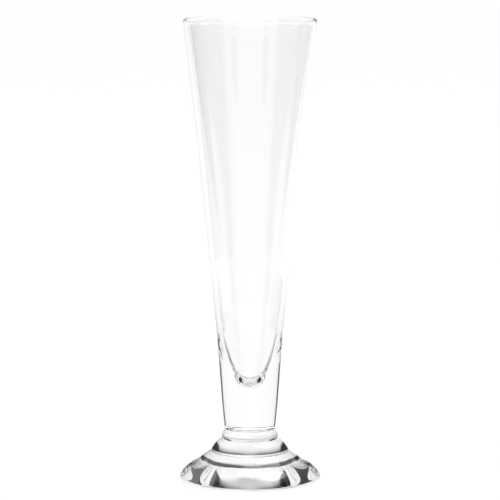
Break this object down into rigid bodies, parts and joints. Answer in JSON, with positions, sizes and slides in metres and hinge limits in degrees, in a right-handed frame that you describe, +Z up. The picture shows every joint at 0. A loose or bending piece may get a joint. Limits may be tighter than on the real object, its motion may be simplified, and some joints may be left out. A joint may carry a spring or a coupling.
{
  "type": "footed beer glass",
  "caption": "Tall clear beer glass with a straight tapering bowl, a thick rounded bottom, a short solid stem, a collar and a stepped round foot to stand on.",
  "frame": {"origin": "middle of the foot's resting ring, on the surface that the glass stands on", "axes": "+Z up along the glass's axis, from the foot to the rim; X and Y are alike, because the glass is round"},
  "size_m": [0.072, 0.072, 0.235],
  "materials": {
    "clear_glass": "fire-polished colourless soda-lime glass"
  },
  "bodies": {
    "root": {"bowl": "clear_glass", "stem": "clear_glass", "collar": "clear_glass", "foot": "clear_glass"}
  },
  "joints": []
}
